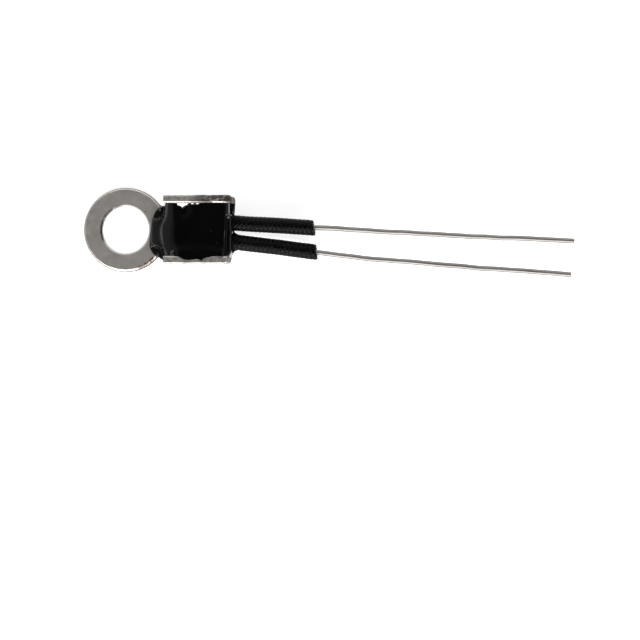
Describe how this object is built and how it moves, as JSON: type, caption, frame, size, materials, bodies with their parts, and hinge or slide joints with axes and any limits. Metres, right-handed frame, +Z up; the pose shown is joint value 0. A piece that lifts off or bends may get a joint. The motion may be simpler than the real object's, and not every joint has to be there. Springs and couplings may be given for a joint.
{
  "type": "ntc thermistor",
  "caption": "Ring-terminal temperature sensor: a stamped metal lug with an upturned channel filled with black potting compound, and sleeved wire leads.",
  "frame": {"origin": "centre of the ring's hole on the lug's bottom face", "axes": "+X from the ring towards the leads, +Y across the lug to the left-hand wall, +Z up out of the hole"},
  "size_m": [0.0385, 0.0071, 0.0031],
  "materials": {
    "plated_lug": "satin plating",
    "potting": "gloss",
    "bead": "gloss",
    "chip": "matte",
    "electrode": "fired silver",
    "solder": "satin",
    "tinned_wire": "dull tin",
    "sleeving": "matte weave"
  },
  "bodies": {
    "root": {"ring_lug": "plated_lug", "epoxy_potting": "potting", "bead_coating": "bead", "thermistor_chip": "chip", "electrode_left": "electrode", "electrode_right": "electrode", "solder_left": "solder", "solder_right": "solder", "lead_left": "tinned_wire", "lead_right": "tinned_wire", "sleeve_left": "sleeving", "sleeve_right": "sleeving"}
  },
  "joints": []
}
